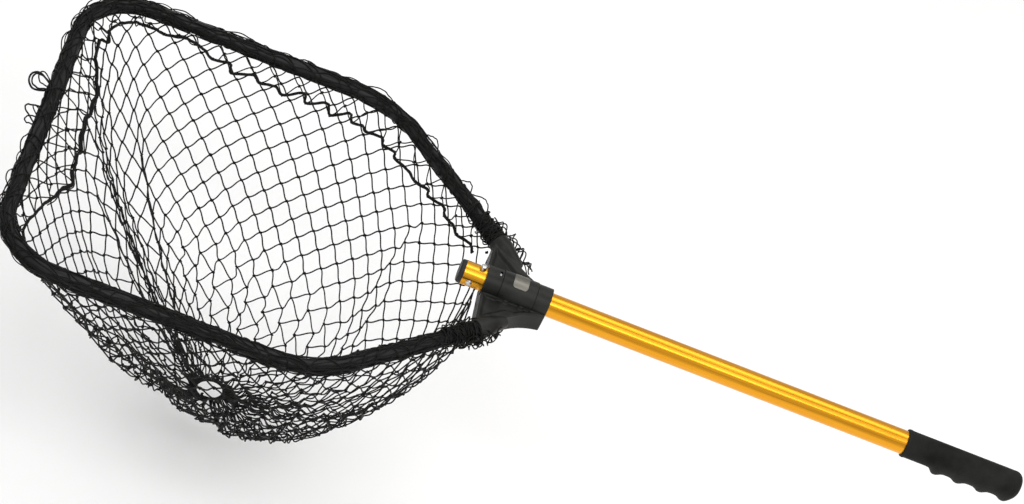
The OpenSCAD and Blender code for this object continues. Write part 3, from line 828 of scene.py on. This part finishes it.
def grip_mesh():
    """A sleeve with a rounded rear end, a lip in front and four finger swells underneath."""
    round_end = 9
    start = GRIP_HALF - round_end
    quarter = np.linspace(0, np.pi / 2, 14)[1:]
    xs = np.r_[np.linspace(-GRIP_HALF, start, 120), start + round_end * np.sin(quarter)]
    sides = 96
    a = 2 * np.pi * np.arange(sides) / sides
    swell = np.zeros_like(xs)
    for i in range(4):
        d = (xs + GRIP_HALF - SWELL_X) / SWELL_PITCH - i
        swell += np.exp(-np.abs(d / np.where(d < 0, 0.25, 0.21)) ** 2.4)
    inside = 1 / (1 + np.exp(-(xs + GRIP_HALF - 35) / 1.6))
    depth = inside * (4.6 + 5.4 * np.clip(swell, 0, 1))
    end = np.clip((xs - start) / round_end, 0, 1)
    radius = GRIP_R + (np.sqrt(np.clip(1 - end ** 2, 0, 1)) - 1) * round_end
    lip = 0.5 * np.exp(-((xs + GRIP_HALF - 2.2) / 1.6) ** 2)
    under = np.clip(-np.sin(a), 0, 1) ** 0.9
    rings = []
    for x, r, d, edge in zip(xs, radius, depth, lip):
        below = r + edge + d * under * np.clip(r / GRIP_R, 0, 1)
        rings.append(np.c_[np.full(sides, x + GRIP_X), np.cos(a) * (r + edge), np.sin(a) * below])
    mouth = rings[0] * [1, 12.76 / GRIP_R, 12.76 / GRIP_R]
    V = np.array([mouth + [10, 0, 0], mouth] + rings)
    index = np.arange(len(V) * sides).reshape(len(V), sides)
    a0, c0 = index[:-1], index[1:]
    quads = np.stack([a0, np.roll(a0, -1, 1), np.roll(c0, -1, 1), c0], -1).reshape(-1, 4)
    return V.reshape(-1, 3), quads[:, ::-1], None


grip = mesh_object("grip_visual", *grip_mesh())
piece(grip, RUBBER, "handle", "grip_rubber", "grip")

# ---------------------------------------------------------------- the leaf spring in the tube


def leaf_spring():
    """A folded strip, 7 by 0.8 mm: its lower leaf lies in the tube and its upper one carries the buttons."""
    fold = np.radians(np.linspace(-90, 90, 25))
    middle = np.vstack([[[22.0, -8.6]], np.c_[76 + 8.6 * np.cos(fold), 8.6 * np.sin(fold)], [[14.0, 8.6]]])
    middle = resampled(middle, 120)
    along = unit(np.gradient(middle, axis=0))
    across = np.c_[-along[:, 1], along[:, 0]] * 0.4
    rings = []
    upper = ((-3.5, 0.55), (-3.2, 1), (3.2, 1), (3.5, 0.55))
    for side, face in upper + tuple((-side, -face) for side, face in upper):
        p = middle + across * face
        rings.append(np.c_[p[:, 0], np.full(len(p), side), p[:, 1]])
    V = np.stack(rings, 1)
    index = np.arange(len(V) * 8).reshape(-1, 8)
    a, c = index[:-1], index[1:]
    quads = np.stack([a, np.roll(a, -1, 1), np.roll(c, -1, 1), c], -1).reshape(-1, 4)
    strips = ([0, 1, 6, 7], [1, 2, 5, 6], [2, 3, 4, 5])
    ends = [end[strip] for strip in strips for end in (index[0], index[-1])]
    return V.reshape(-1, 3), np.vstack([quads, ends]), None


spring = mesh_object("spring_visual", *leaf_spring(), smooth=False)
piece(spring, SPRING, "handle", "spring_steel", "button_spring")
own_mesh(spring)

# ---------------------------------------------------------------- yoke, rounded from the CAD mouldings


def rounded_copy(node, name, voxel, passes):
    """A copy of a CAD solid with its edges rounded by a voxel remesh and a few smoothing passes."""
    source = bpy.data.objects[node]
    obj = bpy.data.objects.new(name, source.data.copy())
    bpy.context.scene.collection.objects.link(obj)
    remesh = obj.modifiers.new("remesh", "REMESH")
    remesh.mode = "VOXEL"
    remesh.voxel_size = voxel
    smooth = obj.modifiers.new("smooth", "SMOOTH")
    smooth.factor = 0.5
    smooth.iterations = passes
    dg = bpy.context.evaluated_depsgraph_get()
    mesh = bpy.data.meshes.new_from_object(obj.evaluated_get(dg))
    obj.modifiers.clear()
    obj.data = mesh
    mesh.polygons.foreach_set("use_smooth", np.ones(len(mesh.polygons), bool))
    return obj


def hollow_panels(obj):
    """Sinks the saddle's flat top between a ledge along the barrel and the rolled outer edge."""
    flat = np.empty(len(obj.data.vertices) * 3, np.float32)
    obj.data.vertices.foreach_get("co", flat)
    P = flat.reshape(-1, 3).astype(float) * 1000 - TIP
    level = (P[:, 2] > -1.3) & (P[:, 2] < 0.7)
    wall = P[(P[:, 2] < -3.0) & (P[:, 2] > -4.4)]
    barrel = np.abs(wall[:, 1]) < 17.5
    spots = P[level][:, :2]

    def nearest(points):
        return np.concatenate([np.linalg.norm(part[:, None] - points[None, :, :2], axis=-1).min(1)
                               for part in np.array_split(spots, 40)])

    def ease(x):
        x = np.clip(x, 0, 1)
        return x * x * (3 - 2 * x)

    ahead = np.array([-math.cos(LEG), math.sin(LEG)])
    rel = np.c_[spots[:, 0], np.abs(spots[:, 1])] - MOUTH
    along = np.clip(rel @ ahead, -40, 0)
    leg = np.linalg.norm(rel - along[:, None] * ahead, axis=1)
    sink = ease((nearest(wall[barrel]) - 1.6) / 2.0) * ease((nearest(wall[~barrel]) - 2.0) / 5.0)
    P[level, 2] -= 3.6 * sink * ease((leg - 9) / 4)
    obj.data.vertices.foreach_set("co", np.ascontiguousarray(put(P), np.float32).ravel())
    obj.data.update()


saddle = rounded_copy("yoke_saddle", "saddle_visual", 0.00062, 10)
hollow_panels(saddle)
piece(saddle, YOKE, "net_head", "yoke_plastic", "yoke_saddle")
cover = rounded_copy("yoke_cover", "cover_visual", 0.00045, 4)
piece(cover, YOKE, "net_head", "yoke_plastic", "yoke_cover")

# ---------------------------------------------------------------- CAD nodes that stay as they are

finishes = {"handle_tube": GOLD, "tip_plug": PLUG, "plug_rivet": CHROME, "stop_button": CHROME,
            "lock_button": CHROME, "badge_plate": BADGE, "front_bush": YOKE, "rear_bush": YOKE,
            "cover_screws": ZINC, "leg_screws": ZINC}
for name, material in finishes.items():
    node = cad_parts[name]
    node.data.materials.clear()
    node.data.materials.append(material)
bevels = {"front_bush": 0.0006, "rear_bush": 0.0006, "tip_plug": 0.0003, "badge_plate": 0.0003}
for name, width in bevels.items():
    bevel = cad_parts[name].modifiers.new("bevel", "BEVEL")
    bevel.width = width
    bevel.segments = 2
    bevel.limit_method = "ANGLE"
    bevel.angle_limit = math.radians(40)

# ---------------------------------------------------------------- studio

bpy.ops.mesh.primitive_plane_add(size=14, location=(-0.3, 0, -0.34))
floor = bpy.context.object
floor.name = "floor"
floor.data.materials.append(floor_material())

world = bpy.data.worlds.new("studio")
bpy.context.scene.world = world
world.use_nodes = True
world.node_tree.nodes["Background"].inputs["Color"].default_value = (1, 1, 1, 1)
world.node_tree.nodes["Background"].inputs["Strength"].default_value = 0.62


def area(name, location, target, size, power):
    """A soft lamp that looks at target."""
    light = bpy.data.lights.new(name, "AREA")
    light.shape = "RECTANGLE"
    light.size, light.size_y = size
    light.energy = power
    obj = bpy.data.objects.new(name, light)
    bpy.context.scene.collection.objects.link(obj)
    obj.location = location
    obj.rotation_mode = "QUATERNION"
    obj.rotation_quaternion = (Vector(target) - Vector(location)).to_track_quat("-Z", "Y")
    return obj


area("key", (-0.6, -1.6, 2.6), (-0.4, 0, -0.05), (2.4, 1.4), 36)
area("top", (-0.3, 0.9, 2.4), (-0.4, 0, -0.05), (2.6, 1.2), 22)
area("side", (1.8, -0.7, 1.3), (-0.2, 0, -0.05), (1.2, 1.2), 9)

# A long lens that looks down at about 42 degrees from the near side, with the handle running off to the right
camera = bpy.data.cameras.new("camera")
camera.lens = 140.6
camera.sensor_width = 36
camera.clip_end = 50
shot = bpy.data.objects.new("camera", camera)
bpy.context.scene.collection.objects.link(shot)
right, up, ahead = (0.92616, 0.16817, 0.33757), (-0.36021, 0.65964, 0.65964), (0.11175, 0.73253, -0.67151)
turn = Matrix((right, up, tuple(-a for a in ahead))).transposed().to_4x4()
shot.matrix_world = Matrix.Translation((-0.9706, -2.9564, 2.7595)) @ turn
bpy.context.scene.camera = shot
bpy.context.scene.view_settings.view_transform = "Standard"
